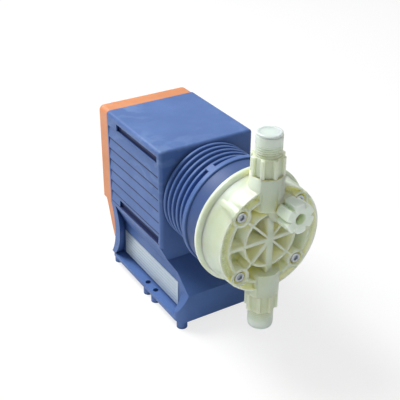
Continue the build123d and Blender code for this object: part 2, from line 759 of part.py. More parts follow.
with BuildPart() as dosing_head:
    with BuildSketch(side_plane) as head_section:
        with BuildLine():
            Line((backplate_front, 0), (backplate_front, head_back_r))
            neck = (backplate_front - head_neck_t, head_waist_r)
            ThreePointArc((backplate_front, head_back_r),
                          (backplate_front - head_neck_bend, head_bend_r), neck)
            Polyline(neck, (backplate_front - head_shoulder_t, head_r), (head_front, head_r),
                     (head_front, 0), (backplate_front, 0))
        make_face()
    revolve(head_section.sketch, axis=pump_axis)
    # shallow channel inside the rim
    collar(head_front, head_front + channel_depth, head_r - rim_t, channel_inner_r,
           mode=Mode.SUBTRACT)
    # deep pockets between the ribs
    with BuildSketch(head_face) as pockets:
        Circle(pocket_outer_r)
        Circle(ring_rib_outer_r, mode=Mode.SUBTRACT)
        Circle(ring_rib_inner_r)
        Rectangle(2 * spoke_half, axial_spoke_t, mode=Mode.SUBTRACT)
        Rectangle(duct_width, 2 * spoke_half, mode=Mode.SUBTRACT)
        Rectangle(2 * spoke_half, spoke_t, rotation=45, mode=Mode.SUBTRACT)
        Rectangle(2 * spoke_half, spoke_t, rotation=-45, mode=Mode.SUBTRACT)
        with Locations(Rotation(0, 0, -45)):
            with Locations((ring_rib_inner_r / 2, 0)):
                Rectangle(ring_rib_inner_r, thick_spoke_t, mode=Mode.SUBTRACT)
    extrude(pockets.sketch, amount=pocket_depth, mode=Mode.SUBTRACT)
    # port bosses, the upper one longer than the lower
    upright(0, port_y, axis_z + discharge_boss_root, axis_z + discharge_boss_end, boss_r)
    upright(0, port_y, axis_z - suction_boss_end, axis_z - suction_boss_root, boss_r)
    # bleed valve body
    lengthways(bleed_x, bleed_z, head_front - bleed_body_reach, head_front + pocket_depth,
               bleed_body_r)
    # bolt bosses, counterbored for washer and bolt head
    for turn in range(4):
        angle = radians(45 + 90 * turn)
        x, z = bolt_circle_r * cos(angle), axis_z + bolt_circle_r * sin(angle)
        lengthways(x, z, head_front, backplate_front, bolt_boss_r)
        lengthways(x, z, head_front - bleed_body_reach,
                   head_front + washer_t + bolt_head_t + slip, bolt_bore_r, mode=Mode.SUBTRACT)
        lengthways(x, z, head_front, backplate_front, bolt_grip_hole_r, mode=Mode.SUBTRACT)
    # diaphragm seat and working chamber
    collar(diaphragm_rear - diaphragm_t, backplate_front, diaphragm_r + slip, mode=Mode.SUBTRACT)
    chamber_back = diaphragm_rear - diaphragm_t
    turned(
        (chamber_back, 0), (chamber_back, chamber_r),
        (chamber_back - chamber_step, chamber_r - chamber_step),
        (chamber_back - chamber_depth, chamber_r / 2), (chamber_back - chamber_depth, 0),
        mode=Mode.SUBTRACT,
    )
    # valve bores, ducts between the chamber and the valves, bleed bore
    discharge_floor = axis_z + discharge_boss_end - discharge_stub - seat_t
    suction_ceiling = axis_z - suction_boss_end + suction_stub + seat_t + ball_room
    upright(0, port_y, discharge_floor, axis_z + discharge_boss_end, boss_bore_r,
            mode=Mode.SUBTRACT)
    upright(0, port_y, axis_z - suction_boss_end, suction_ceiling, boss_bore_r,
            mode=Mode.SUBTRACT)
    upright(0, port_y, suction_ceiling, axis_z - chamber_r / 2, duct_bore_r, mode=Mode.SUBTRACT)
    upright(0, port_y, axis_z + chamber_r / 2, discharge_floor, duct_bore_r, mode=Mode.SUBTRACT)
    for z in (axis_z - chamber_r / 2 - duct_bore_r, axis_z + chamber_r / 2 + duct_bore_r):
        lengthways(0, z, port_y, chamber_back, duct_bore_r, mode=Mode.SUBTRACT)
    bleed_floor = port_y - 2 * bleed_channel_r
    lengthways(bleed_x, bleed_z, head_front - bleed_body_reach, bleed_floor,
               bleed_spindle_r + running, mode=Mode.SUBTRACT)
    lengthways(bleed_x, bleed_z, bleed_floor, port_y + bleed_channel_r, bleed_channel_r,
               mode=Mode.SUBTRACT)
    with BuildSketch(Plane(origin=(0, port_y, bleed_z), x_dir=(0, 1, 0),
                           z_dir=(1, 0, 0))) as bleed_channel:
        Circle(bleed_channel_r)
    extrude(bleed_channel.sketch, amount=bleed_x, mode=Mode.SUBTRACT)
save(dosing_head.part, "dosing_head")

# ------------------------------------------------------------------ fasteners of the head
bolt_places = [
    (bolt_circle_r * cos(radians(45 + 90 * turn)),
     axis_z + bolt_circle_r * sin(radians(45 + 90 * turn)))
    for turn in range(4)
]
washer_back = head_front + washer_t + bolt_head_t + slip
bolt_seat = washer_back - washer_t
bolt_tip = drum_front + insert_length

with BuildPart() as head_bolts:
    for x, z in bolt_places:
        lengthways(x, z, bolt_seat - bolt_head_t, bolt_seat, bolt_head_r)
        lengthways(x, z, bolt_seat, bolt_tip, bolt_r)
        with BuildSketch(Plane(origin=(x, bolt_seat - bolt_head_t, z), x_dir=(1, 0, 0),
                               z_dir=(0, 1, 0))) as socket:
            RegularPolygon(bolt_socket_r, 6)
        extrude(socket.sketch, amount=bolt_socket_depth, mode=Mode.SUBTRACT)
save(head_bolts.part, "head_bolts")

with BuildPart() as head_washers:
    for x, z in bolt_places:
        lengthways(x, z, bolt_seat, washer_back, washer_r)
        lengthways(x, z, bolt_seat, washer_back, bolt_grip_hole_r, mode=Mode.SUBTRACT)
save(head_washers.part, "head_washers")

with BuildPart() as drum_inserts:
    for x, z in bolt_places:
        lengthways(x, z, drum_front, drum_front + insert_length, insert_r)
        lengthways(x, z, drum_front, drum_front + insert_length, bolt_r + thread_fit,
                   mode=Mode.SUBTRACT)
save(drum_inserts.part, "drum_inserts")

# ------------------------------------------------------------------ valves
port_axis = Axis((0, port_y, 0), (0, 0, 1))
port_plane = Plane(origin=(0, port_y, 0), x_dir=(1, 0, 0), z_dir=(0, -1, 0))
seal_centre_r = boss_bore_r - valve_seal_r - thread_fit
discharge_mouth = axis_z + discharge_boss_end
suction_mouth = axis_z - suction_boss_end
discharge_seat_top = discharge_mouth - discharge_stub
suction_seat_top = suction_mouth + suction_stub + seat_t
valve_length = grip_length + thread_length


def spun(*outline, mode=Mode.ADD):
    """Revolve a closed outline of (radius, z) points about the port axis."""
    with BuildSketch(port_plane) as section:
        with BuildLine():
            Polyline(*outline, close=True)
        make_face()
    revolve(section.sketch, axis=port_axis, mode=mode)


def valve_body(mouth, outward, stub, grip_turn):
    """Screw-in connector: stub in the boss, ribbed grip and threaded end, from mouth outward."""
    grip_end = mouth + outward * grip_length
    end = mouth + outward * valve_length
    upright(0, port_y, mouth - outward * stub, mouth, stub_r)
    with BuildSketch(Plane(origin=(0, port_y, mouth))) as grip:
        Circle(collar_base_r)
        for rib in range(grip_ribs):
            angle = radians(grip_turn - 90 + rib * 360 / grip_ribs)
            with Locations(Location((boss_r / 2 * cos(angle), boss_r / 2 * sin(angle)),
                                    grip_turn - 90 + rib * 360 / grip_ribs)):
                Rectangle(boss_r, grip_rib_t)
        Circle(boss_r - slip, mode=Mode.INTERSECT)
    extrude(grip.sketch, amount=outward * grip_length)
    spun(
        (0, grip_end), (thread_r, grip_end), (thread_r, end - outward * thread_lead_in),
        (thread_r - thread_lead_in, end), (0, end),
    )
    # seal groove, port bore and waist
    groove_z = mouth - outward * suction_stub / 2
    spun(
        (seal_centre_r - valve_seal_r, groove_z - valve_seal_r - slip),
        (stub_r + overcut, groove_z - valve_seal_r - slip),
        (stub_r + overcut, groove_z + valve_seal_r + slip),
        (seal_centre_r - valve_seal_r, groove_z + valve_seal_r + slip),
        mode=Mode.SUBTRACT,
    )
    upright(0, port_y, mouth + outward * port_floor, end, port_bore_r, mode=Mode.SUBTRACT)
    upright(0, port_y, mouth - outward * stub, end, valve_waist_r, mode=Mode.SUBTRACT)


def valve_seal(mouth, outward):
    """O-ring in the groove of a valve body's stub."""
    with BuildSketch(port_plane) as section:
        with Locations((seal_centre_r, mouth - outward * suction_stub / 2)):
            RegularPolygon(valve_seal_r, 8)
    revolve(section.sketch, axis=port_axis)


def port_plug(mouth, outward):
    """Push-in plug that closes the threaded end."""
    end = mouth + outward * valve_length
    cap_end = end + outward * plug_cap_t
    spun(
        (0, end - outward * plug_stem), (port_bore_r - slip, end - outward * plug_stem),
        (port_bore_r - slip, end), (plug_cap_r, end),
        (plug_cap_r, cap_end - outward * plug_cap_edge), (plug_cap_r - plug_cap_edge, cap_end),
        (0, cap_end),
    )


with BuildPart() as discharge_valve_body:
    valve_body(discharge_mouth, 1, discharge_stub, discharge_grip_turn)
    upright(0, port_y, discharge_seat_top, discharge_seat_top + ball_room, ball_cage_r,
            mode=Mode.SUBTRACT)
save(discharge_valve_body.part, "discharge_valve_body")

with BuildPart() as suction_valve_body:
    valve_body(suction_mouth, -1, suction_stub, suction_grip_turn)
save(suction_valve_body.part, "suction_valve_body")

with BuildPart() as discharge_seal:
    valve_seal(discharge_mouth, 1)
save(discharge_seal.part, "discharge_seal")

with BuildPart() as suction_seal:
    valve_seal(suction_mouth, -1)
save(suction_seal.part, "suction_seal")

with BuildPart() as discharge_plug:
    port_plug(discharge_mouth, 1)
save(discharge_plug.part, "discharge_plug")

with BuildPart() as suction_plug:
    port_plug(suction_mouth, -1)
save(suction_plug.part, "suction_plug")

for seat_name, seat_top in (("discharge", discharge_seat_top), ("suction", suction_seat_top)):
    with BuildPart() as valve_seat:
        spun(
            (ball_seat_r, seat_top - seat_t), (boss_bore_r - slip, seat_top - seat_t),
            (boss_bore_r - slip, seat_top), (ball_seat_r, seat_top),
        )
    save(valve_seat.part, seat_name + "_valve_seat")
    with BuildPart() as ball:
        with Locations((0, port_y, seat_top + ball_rise)):
            Sphere(ball_r)
    save(ball.part, seat_name + "_ball")

with BuildPart() as suction_ball_cage:
    spun(
        (ball_cage_r, suction_seat_top), (boss_bore_r - slip, suction_seat_top),
        (boss_bore_r - slip, suction_ceiling), (ball_cage_r, suction_ceiling),
    )
save(suction_ball_cage.part, "suction_ball_cage")

# ------------------------------------------------------------------ bleed valve
bleed_body_front = head_front - bleed_body_reach
bleed_knob_back = bleed_body_front - bleed_knob_gap
bleed_knob_front = bleed_knob_back - bleed_knob_length
bleed_mouth_floor = bleed_knob_front + bleed_mouth_depth
bleed_groove_y = bleed_body_front + bleed_seal_depth
bleed_axis = Axis((bleed_x, 0, bleed_z), (0, 1, 0))

with BuildPart() as bleed_knob:
    with BuildSketch(Plane(origin=(bleed_x, bleed_knob_back, bleed_z), x_dir=(1, 0, 0),
                           z_dir=(0, -1, 0))) as star:
        Circle(bleed_valley_r)
        lobe_centre_r = bleed_knob_r - bleed_lobe_r
        for lobe in range(bleed_lobes):
            angle = radians(bleed_lobe_turn + lobe * 360 / bleed_lobes)
            with Locations((lobe_centre_r * cos(angle), lobe_centre_r * sin(angle))):
                Circle(bleed_lobe_r)
    extrude(star.sketch, amount=bleed_knob_length)
    lengthways(bleed_x, bleed_z, bleed_knob_front, bleed_mouth_floor, bleed_mouth_r,
               mode=Mode.SUBTRACT)
    lengthways(bleed_x, bleed_z, bleed_mouth_floor, bleed_knob_back, bleed_spindle_r,
               mode=Mode.SUBTRACT)
save(bleed_knob.part, "bleed_knob")

with BuildPart() as bleed_spindle:
    lengthways(bleed_x, bleed_z, bleed_mouth_floor, bleed_floor - seat_gap, bleed_spindle_r)
    lengthways(bleed_x, bleed_z, bleed_mouth_floor, bleed_floor - bleed_tip, bleed_channel_r,
               mode=Mode.SUBTRACT)
    groove_r = bleed_spindle_r - 2 * bleed_seal_r
    with BuildSketch(Plane(origin=(bleed_x, bleed_groove_y - bleed_seal_r - slip, bleed_z),
                           x_dir=(1, 0, 0), z_dir=(0, 1, 0))) as groove:
        Circle(bleed_spindle_r + overcut)
        Circle(groove_r, mode=Mode.SUBTRACT)
    extrude(groove.sketch, amount=2 * (bleed_seal_r + slip), mode=Mode.SUBTRACT)
save(bleed_spindle.part, "bleed_spindle")

with BuildPart() as bleed_seal:
    with BuildSketch(Plane(origin=(bleed_x, 0, bleed_z), x_dir=(0, 1, 0),
                           z_dir=(1, 0, 0))) as section:
        with Locations((bleed_groove_y, bleed_spindle_r - bleed_seal_r)):
            RegularPolygon(bleed_seal_r - thread_fit, 8)
    revolve(section.sketch, axis=bleed_axis)
save(bleed_seal.part, "bleed_seal")

# ------------------------------------------------------------------ operating panel
with BuildPart() as cover_gasket:
    with BuildSketch(Plane(origin=(0, box_rear, gasket_z), x_dir=(1, 0, 0),
                           z_dir=(0, -1, 0))) as gasket:
        gasket_outline()
    extrude(gasket.sketch, amount=gasket_t)
save(cover_gasket.part, "cover_gasket")

dial_back = panel_y + dial_t

with BuildPart() as stroke_dial:
    collar(panel_y, dial_back, dial_r, spindle_r + dial_clearance)
save(stroke_dial.part, "stroke_dial")

with BuildPart() as stroke_knob:
    knob_start = dial_back + stop_gap
    knob_end = knob_start + knob_length
    turned(
        (knob_start, spindle_r), (knob_start, knob_r), (knob_start + knob_skirt, knob_r),
        (knob_end - knob_taper, knob_r - knob_taper), (knob_end, knob_r - 2 * knob_taper),
        (knob_end, 0), (spindle_end, 0), (spindle_end, spindle_r),
    )
    for flute in range(knob_flutes):
        angle = radians(flute * 360 / knob_flutes)
        lengthways(knob_r * cos(angle), axis_z + knob_r * sin(angle), knob_start + knob_skirt,
                   knob_end, knob_flute_r, mode=Mode.SUBTRACT)
save(stroke_knob.part, "stroke_knob")

rate_z = axis_z + rate_rise
with BuildPart() as rate_switch:
    switch_front = panel_y - wall - rate_depth
    block(rate_x - rate_body / 2, rate_x + rate_body / 2, switch_front, panel_y - wall,
          rate_z - rate_body / 2, rate_z + rate_body / 2)
    lengthways(rate_x, rate_z, switch_front + rate_floor, panel_y - wall,
               rate_shaft_r + running, mode=Mode.SUBTRACT)
save(rate_switch.part, "rate_switch")

with BuildPart() as rate_shaft:
    lengthways(rate_x, rate_z, switch_front + rate_floor + running, panel_y + rate_grip,
               rate_shaft_r)
save(rate_shaft.part, "rate_shaft")

with BuildPart() as rate_knob:
    lengthways(rate_x, rate_z, panel_y + stop_gap, panel_y + stop_gap + rate_knob_length,
               rate_knob_r)
    fillet(rate_knob.faces().sort_by(Axis.Y)[-1].edges(), rate_knob_edge)
    lengthways(rate_x, rate_z, panel_y + stop_gap, panel_y + rate_grip, rate_shaft_r,
               mode=Mode.SUBTRACT)
    mark_y = panel_y + stop_gap + rate_knob_length - rate_mark
    block(rate_x - rate_mark / 2, rate_x + rate_mark / 2, mark_y, mark_y + rate_mark + overcut,
          rate_z, rate_z + rate_knob_r + overcut, mode=Mode.SUBTRACT)
save(rate_knob.part, "rate_knob")

with BuildPart() as status_lenses:
    for lens in (-1, 0, 1):
        lengthways(lens_x + lens * lens_spacing, axis_z + lens_rise, panel_y - wall,
                   panel_y + lens_proud, lens_r)
save(status_lenses.part, "status_lenses")

socket_z = axis_z - socket_drop
with BuildPart() as signal_sockets:
    for x in socket_xs:
        lengthways(x, socket_z, panel_y - wall - socket_tail,
                   panel_y + socket_nut_t + socket_thread, socket_r)
        with BuildSketch(Plane(origin=(x, panel_y, socket_z), x_dir=(1, 0, 0),
                               z_dir=(0, 1, 0))) as nut:
            RegularPolygon(socket_nut_af / 2, 6, major_radius=False)
        extrude(nut.sketch, amount=socket_nut_t)
save(signal_sockets.part, "signal_sockets")

with BuildPart() as socket_caps:
    for x in socket_xs:
        cap_start = panel_y + socket_nut_t
        lengthways(x, socket_z, cap_start, cap_start + socket_cap_length, socket_cap_r)
        lengthways(x, socket_z, cap_start, cap_start + socket_thread, socket_r,
                   mode=Mode.SUBTRACT)
save(socket_caps.part, "socket_caps")

gland_hex_end = panel_y + gland_hex_t
with BuildPart() as cable_gland:
    lengthways(gland_x, socket_z, panel_y - wall - gland_tail, gland_hex_end + gland_thread,
               gland_thread_r)
    with BuildSketch(Plane(origin=(gland_x, panel_y, socket_z), x_dir=(1, 0, 0),
                           z_dir=(0, 1, 0))) as hexagon:
        RegularPolygon(gland_hex_af / 2, 6, major_radius=False)
    extrude(hexagon.sketch, amount=gland_hex_t)
    lengthways(gland_x, socket_z, panel_y - wall - gland_tail, gland_hex_end + gland_thread,
               gland_bore_r + gland_sleeve, mode=Mode.SUBTRACT)
save(cable_gland.part, "cable_gland")

with BuildPart() as gland_nut:
    with BuildSketch(Plane(origin=(gland_x, gland_hex_end, socket_z), x_dir=(1, 0, 0),
                           z_dir=(0, 1, 0))) as hexagon:
        RegularPolygon(gland_hex_af / 2, 6, major_radius=False)
    extrude(hexagon.sketch, amount=gland_nut_length)
    fillet(gland_nut.faces().sort_by(Axis.Y)[-1].edges(), gland_nut_dome)
    lengthways(gland_x, socket_z, gland_hex_end, gland_hex_end + gland_thread, gland_thread_r,
               mode=Mode.SUBTRACT)
    lengthways(gland_x, socket_z, gland_hex_end, gland_hex_end + gland_nut_length, gland_bore_r,
               mode=Mode.SUBTRACT)
save(gland_nut.part, "gland_nut")

# ------------------------------------------------------------------ circuit board
board_x = half - wall - board_standoff

with BuildPart() as circuit_board:
    block(board_x - board_t, board_x, 0, board_length, board_z, board_z + board_height)
save(circuit_board.part, "circuit_board")

with BuildPart() as board_components:
    face_x = board_x - board_t
    low_z = board_z + part_margin
    relay_y = 2 * part_margin + transformer_length
    terminal_z = board_z + board_height - part_margin - relay_height
    block(face_x - transformer_depth, face_x, part_margin, part_margin + transformer_length,
          low_z, low_z + transformer_height)
    block(face_x - relay_depth, face_x, relay_y, relay_y + relay_length, low_z,
          low_z + relay_height)
    block(face_x - terminal_depth, face_x, part_margin, part_margin + terminal_length,
          terminal_z, terminal_z + relay_height)
    for step in (0, 1):
        capacitor_y = relay_y + capacitor_r + step * capacitor_pitch
        with BuildSketch(Plane(origin=(face_x, capacitor_y, board_z + board_height / 2),
                               x_dir=(0, 1, 0), z_dir=(-1, 0, 0))) as capacitor:
            Circle(capacitor_r)
        extrude(capacitor.sketch, amount=capacitor_length)
save(board_components.part, "board_components")
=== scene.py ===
from math import cos, pi, radians, sin

import bmesh
import bpy
import numpy as np
from mathutils import Matrix, Vector


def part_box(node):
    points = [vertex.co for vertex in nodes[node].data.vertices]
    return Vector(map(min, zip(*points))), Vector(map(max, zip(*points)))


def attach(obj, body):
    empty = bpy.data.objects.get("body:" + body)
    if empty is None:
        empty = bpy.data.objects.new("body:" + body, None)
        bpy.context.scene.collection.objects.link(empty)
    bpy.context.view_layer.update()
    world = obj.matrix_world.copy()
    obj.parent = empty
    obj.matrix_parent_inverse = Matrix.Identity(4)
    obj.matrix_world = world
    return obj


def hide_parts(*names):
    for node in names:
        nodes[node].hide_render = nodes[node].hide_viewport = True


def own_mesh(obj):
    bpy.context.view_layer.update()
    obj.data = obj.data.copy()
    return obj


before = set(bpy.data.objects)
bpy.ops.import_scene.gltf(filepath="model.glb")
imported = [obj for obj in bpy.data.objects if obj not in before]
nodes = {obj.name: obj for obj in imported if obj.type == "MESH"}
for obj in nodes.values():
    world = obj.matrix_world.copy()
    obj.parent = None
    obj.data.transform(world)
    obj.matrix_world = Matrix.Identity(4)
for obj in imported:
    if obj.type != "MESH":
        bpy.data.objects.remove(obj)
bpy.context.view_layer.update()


# Housing. One blue moulding of glass-filled polypropylene: the box with its lapped side slats,
# the ringed drum for the solenoid and the pedestal on its feet. It comes out of the mould with a
# fine eroded grain, and faint flow swirls show on the box.
def maker(tree):
    """The ways to add a node to a tree and to fill one. Values fill a node's sockets in order,
    where None leaves one alone, and settings fill sockets or properties by name. A value that is
    itself a socket is linked."""
    def fill(node, *values, **settings):
        given = list(zip(node.inputs, values))
        for key, value in settings.items():
            socket = node.inputs.get(key.replace("_", " "))
            if socket is None:
                setattr(node, key, value)
            else:
                given.append((socket, value))
        for socket, value in given:
            if isinstance(value, bpy.types.NodeSocket):
                tree.links.new(value, socket)
            elif value is not None:
                socket.default_value = value
        return node

    def add(kind, *values, **settings):
        return fill(tree.nodes.new("ShaderNode" + kind), *values, **settings)

    return add, fill


def wiring(name):
    """A new material, with a maker of its nodes and a way to fill its shader's sockets."""
    material = bpy.data.materials.new(name)
    material.use_nodes = True
    add, fill = maker(material.node_tree)
    shader = material.node_tree.nodes["Principled BSDF"]
    return material, add, lambda **settings: fill(shader, **settings)


def linear(red, green, blue):
    """A display colour in steps of 0 to 255 as linear light: ((c + 0.055) / 1.055) ** 2.4."""
    steps = np.array([red, green, blue]) / 255
    light = np.where(steps > 0.04045, ((steps + 0.055) / 1.055) ** 2.4, steps / 12.92)
    return (*light.tolist(), 1.0)


def figure(add, operation, *values):
    """The result of one operation on values or sockets."""
    return add("Math", *values, operation=operation).outputs[0]


def every(add, operation, *values):
    """Values joined by one operation: MULTIPLY asks for all of them, MAXIMUM for any."""
    joined = values[0]
    for value in values[1:]:
        joined = figure(add, operation, joined, value)
    return joined


def within(add, value, low, high):
    """1 where a value lies from low to high, in millimetres, and 0 elsewhere."""
    return figure(add, "COMPARE", value, (low + high) / 2000, (high - low) / 2000)


def between(add, value, low, high, first, last):
    """A value from low to high spread over first to last, held at its ends."""
    return add("MapRange", Value=value, From_Min=low, From_Max=high, To_Min=first,
               To_Max=last).outputs["Result"]


def blended(add, share, first, second):
    """Two colours, or sockets of colour, mixed by a share: the mix node's last two sockets in use
    are the seventh and the eighth."""
    return add("Mix", share, *[None] * 5, first, second, data_type="RGBA").outputs[2]


def noise(add, place, scale, detail, roughness=0.5):
    """Soft noise over cells 1 / scale wide."""
    return add("TexNoise", Vector=place, Scale=scale, Detail=detail,
               Roughness=roughness).outputs["Fac"]


def relief(add, height, depth, strength, edge):
    """The normal of a surface whose height stands up by depth and whose edges look rounded by
    a radius."""
    rounded = {"Normal": add("Bevel", Radius=edge, samples=4).outputs["Normal"]} if edge else {}
    return add("Bump", Height=height, Distance=depth, Strength=strength,
               **rounded).outputs["Normal"]


def moulded(name, colour, swirl_and_highlight, rough=0.5, grain=1500.0, depth=0.00006, edge=0.0004,
            corner_shade=0.45, swirl=0.0, edge_highlight=0.3, gloss=0.5, painted_spots=None):
    """Moulded plastic: the colour drifts in soft clouds, darkens by painted shade in closed
    corners and in the given places, and is lightened on edges by a painted highlight towards the
    lighter tone; the eroded grain stands up by depth over cells 1 / grain wide. Swirls in the
    lighter tone show on the box, from 28.5 mm ahead of y = 0 to its back."""
    material, add, paint = wiring(name)
    place = add("TexCoord").outputs["Object"]
    cloud = noise(add, place, 24.0, 5.0, 0.6)
    shade = tuple(channel * 0.86 for channel in colour[:3]) + (1.0,)
    body = blended(add, between(add, cloud, 0.35, 0.65, 0.0, 1.0), colour, shade)
    if swirl:
        flow = add("TexWave", Vector=place, wave_type="RINGS", Scale=26.0, Distortion=9.0,
                   Detail=3.0, Detail_Scale=1.6).outputs["Fac"]
        seen = every(add, "MULTIPLY", between(add, flow, 0.55, 1.0, 0.0, 1.0),
                     between(add, noise(add, place, 13.0, 2.0), 0.5, 0.66, 0.0, swirl),
                     within(add, add("SeparateXYZ", place).outputs["Y"], -28.5, 90.0))
        body = blended(add, seen, body, swirl_and_highlight)
    # Painted shade: the colour darkens towards a dark tone in closed corners, within 4 mm of
    # other walls.
    closed = add("AmbientOcclusion", Distance=0.004, samples=6).outputs["AO"]
    gloom = (colour[0] * 0.1, colour[1] * 0.12, colour[2] * 0.22, 1.0)
    body = blended(add, between(add, closed, 0.0, 0.9, corner_shade, 0.0), body, gloom)
    # Painted highlight: outer edges are lightened towards the lighter tone, which the real flow
    # swirls also use.
    rim = add("AmbientOcclusion", Distance=0.0007, inside=True, samples=6).outputs["AO"]
    body = blended(add, between(add, rim, 0.45, 0.8, edge_highlight, 0.0), body, swirl_and_highlight)
    # Painted shade in the given places.
    if painted_spots:
        body = blended(add, painted_spots(add, place), body, gloom)
    paint(Base_Color=body, Specular_IOR_Level=gloss,
          Roughness=between(add, cloud, 0.3, 0.7, rough - 0.06, rough + 0.06),
          Normal=relief(add, noise(add, place, grain, 2.0), depth, 0.6, edge))
    return material


def dark_places(add, place):
    """Painted shade on the moulding: a shadow line under each slat's lower edge, a short shaded
    upright mark at its front end, shade on the floors of the two long slots and, by a half, shade
    on the drum's smooth front band."""
    slat_foot, slat_pitch = 0.0606, 0.0108
    axes = add("SeparateXYZ", place).outputs
    x, y, z = figure(add, "ABSOLUTE", axes["X"]), axes["Y"], axes["Z"]
    rise = figure(add, "MODULO", figure(add, "SUBTRACT", z, slat_foot), slat_pitch)
    slats = every(add, "MULTIPLY", within(add, x, 42.9, 45.5), within(add, z, 70.2, 141.0),
                  within(add, y, -24.0, 67.0))
    line = figure(add, "MULTIPLY", slats, within(add, rise, 8.6, 10.8))
    mark = every(add, "MULTIPLY", slats, within(add, y, -24.0, -23.1),
                 within(add, rise, 4.5, 9.5))
    slot = every(add, "MULTIPLY", within(add, x, 41.0, 43.9), within(add, z, 68.0, 156.0),
                 within(add, y, -23.5, 66.0))
    band = figure(add, "MULTIPLY", within(add, y, -92.5, -74.8), 0.5)
    return every(add, "MAXIMUM", line, mark, slot, band)


def dress(material, *names):
    """Give CAD nodes one material."""
    for name in names:
        mesh = nodes[name].data
        mesh.materials.clear()
        mesh.materials.append(material)


# The blue moulding carries painted shade: a shadow line under each slat, shaded marks at their
# ends, dark slot floors and a darker drum band.
dress(moulded("blue_moulding", linear(76, 107, 164), linear(138, 168, 208), edge=0.0003,
              corner_shade=0.7, swirl=0.22, edge_highlight=0.0, gloss=0.3, painted_spots=dark_places), "housing")

# Rear cover. The orange half of the box, of the same plastic, carries the operating panel on its
# back. A rubber cord lies in the joint, and four slotted steel screws draw the halves together.
dress(moulded("orange_moulding", linear(208, 133, 84), linear(226, 174, 136), edge=0.0005,
              corner_shade=0.2, swirl=0.1), "rear_cover")
rubber = moulded("black_rubber", linear(36, 36, 38), linear(60, 60, 62), rough=0.78, grain=900.0,
                 depth=0.00004, edge=0.0)
dress(rubber, "cover_gasket")


def metal(name, colour, rough, grain=900.0, depth=0.00002, stretch=(1.0, 1.0, 1.0)):
    """Turned or drawn metal: fine scratches over cells 1 / grain wide, drawn out by stretch."""
    material, add, paint = wiring(name)
    place = add("TexCoord").outputs["Object"]
    drawn = add("Mapping", Vector=place, Scale=stretch).outputs["Vector"]
    scratch = noise(add, drawn, grain, 4.0)
    tarnish = tuple(channel * 0.72 for channel in colour[:3]) + (1.0,)
    paint(Base_Color=blended(add, between(add, scratch, 0.35, 0.7, 0.0, 1.0), colour, tarnish),
          Metallic=1.0, Roughness=between(add, scratch, 0.3, 0.7, rough - 0.08, rough + 0.1),
          Normal=relief(add, scratch, depth, 0.5, 0.0002))
    return material


steel = metal("steel", linear(214, 216, 220), rough=0.3)
dress(steel, "cover_screws")


# Rating plate. Anodised foil glued to the left wall of the pedestal, ruled as an empty form: fine
# grey lines for the rows, and nothing written in them.
def ruled_foil(row=0.0034, margin=0.003):
    """Foil ruled in z: a line shows where z / row, less its whole part, is under a tenth, and
    stops a margin short of the plate's ends in y."""
    material, add, paint = wiring("silver_plate")
    place = add("TexCoord").outputs["Object"]
    low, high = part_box("rating_plate")
    axes = add("SeparateXYZ", place).outputs
    rows = figure(add, "MULTIPLY_ADD", axes["Z"], 1 / row, -low[2] / row)
    line = figure(add, "LESS_THAN", figure(add, "FRACT", rows), 0.1)
    middle = figure(add, "SUBTRACT", axes["Y"], (low[1] + high[1]) / 2)
    inside = figure(add, "LESS_THAN", figure(add, "ABSOLUTE", middle),
                    (high[1] - low[1]) / 2 - margin)
    drawn = add("Mapping", Vector=place, Scale=(1.0, 0.03, 1.0)).outputs["Vector"]
    brush = noise(add, drawn, 2600.0, 3.0)
    ground = blended(add, brush, linear(168, 184, 196), linear(196, 208, 216))
    paint(Base_Color=blended(add, figure(add, "MULTIPLY", line, inside), ground,
                             linear(118, 130, 142)),
          Metallic=0.35, Roughness=between(add, brush, 0.3, 0.7, 0.32, 0.5))
    return material


dress(ruled_foil(), "rating_plate")

# Solenoid. A zinc-plated yoke holds the black bobbin with its varnished winding round a brass
# tube. The pole core closes the front of the tube, and four brass inserts in the drum take the
# screws of the liquid end.
dress(metal("zinc_steel", linear(180, 184, 190), rough=0.42), "yoke_shell", "yoke_end_plate",
      "pole_core")
dress(metal("brass", linear(208, 174, 106), rough=0.32), "guide_tube", "rod_bush",
      "stroke_spindle", "drum_inserts")
dress(metal("copper", linear(178, 104, 60), rough=0.36, grain=2200.0, depth=0.0001,
            stretch=(1.0, 6.0, 1.0)), "coil_winding")
black = moulded("black_plastic", linear(40, 41, 44), linear(84, 86, 90), rough=0.48,
                grain=1400.0, depth=0.00005)
dress(black, "coil_bobbin")

# Drive. The steel armature slides in the tube and pushes the diaphragm forward through its rod
# and a bronze bush. A spring wound from 1.4 mm wire draws it back. In the pump its front end
# stays on the pole core while its back end goes with the armature, so it shortens by the
# stroke; here the spring is built at one length and moves whole with the drive.
dress(steel, "armature", "thrust_rod", "diaphragm_core")
white = moulded("white_ptfe", linear(226, 226, 222), linear(236, 236, 234), rough=0.4,
                grain=1200.0, depth=0.00002)
dress(white, "diaphragm")
axis_z = 114.5


def meshed(name, points, faces):
    """A mesh from points in millimetres, with doubled points merged and its faces outwards."""
    mesh = bpy.data.meshes.new(name)
    mesh.from_pydata((points.reshape(-1, 3) / 1000).tolist(), [], faces)
    work = bmesh.new()
    work.from_mesh(mesh)
    bmesh.ops.remove_doubles(work, verts=work.verts, dist=1e-7)
    bmesh.ops.recalc_face_normals(work, faces=work.faces)
    work.to_mesh(mesh)
    work.free()
    return mesh


def fit(name, mesh, material, body, slot, *replaced, crease=38.0):
    """Put a mesh into the scene as a piece of one body, shaded smooth up to the crease angle."""
    mesh.shade_smooth()
    mesh.set_sharp_from_angle(angle=radians(crease))
    mesh.materials.append(material)
    piece = bpy.data.objects.new(name, mesh)
    bpy.context.scene.collection.objects.link(piece)
    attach(piece, body)
    if replaced:
        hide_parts(*replaced)
    return piece


